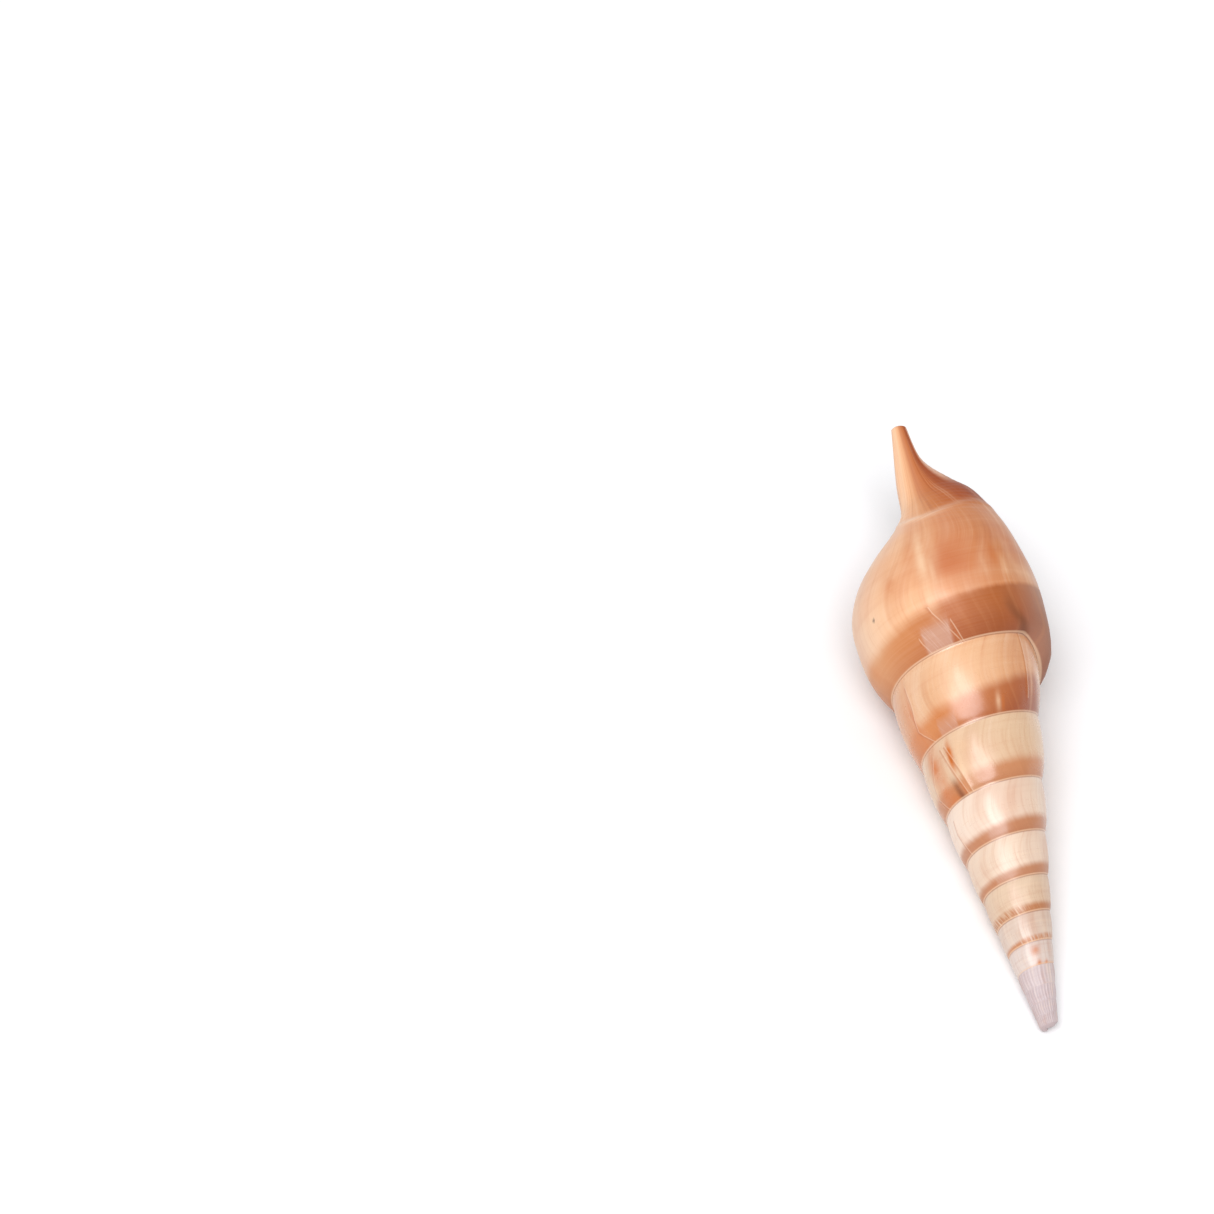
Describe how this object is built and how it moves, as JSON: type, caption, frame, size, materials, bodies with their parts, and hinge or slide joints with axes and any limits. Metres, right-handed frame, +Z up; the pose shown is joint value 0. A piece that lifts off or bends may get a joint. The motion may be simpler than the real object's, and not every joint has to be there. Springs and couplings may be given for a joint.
{
  "type": "tibia shell",
  "caption": "Slender spired sea shell with an inflated body whorl, knobbed outer lip and long siphonal canal, lying aperture down.",
  "frame": {"origin": "on the surface that the shell lies on, under the middle of its bounding box", "axes": "+Y from the tip of the spire to the siphonal canal, +Z up, away from the aperture side"},
  "size_m": [0.038, 0.1276, 0.0373],
  "materials": {
    "shell": "glossy cream and orange-tan shell with a brown band on each whorl"
  },
  "bodies": {
    "root": {"shell": "shell"}
  },
  "joints": []
}
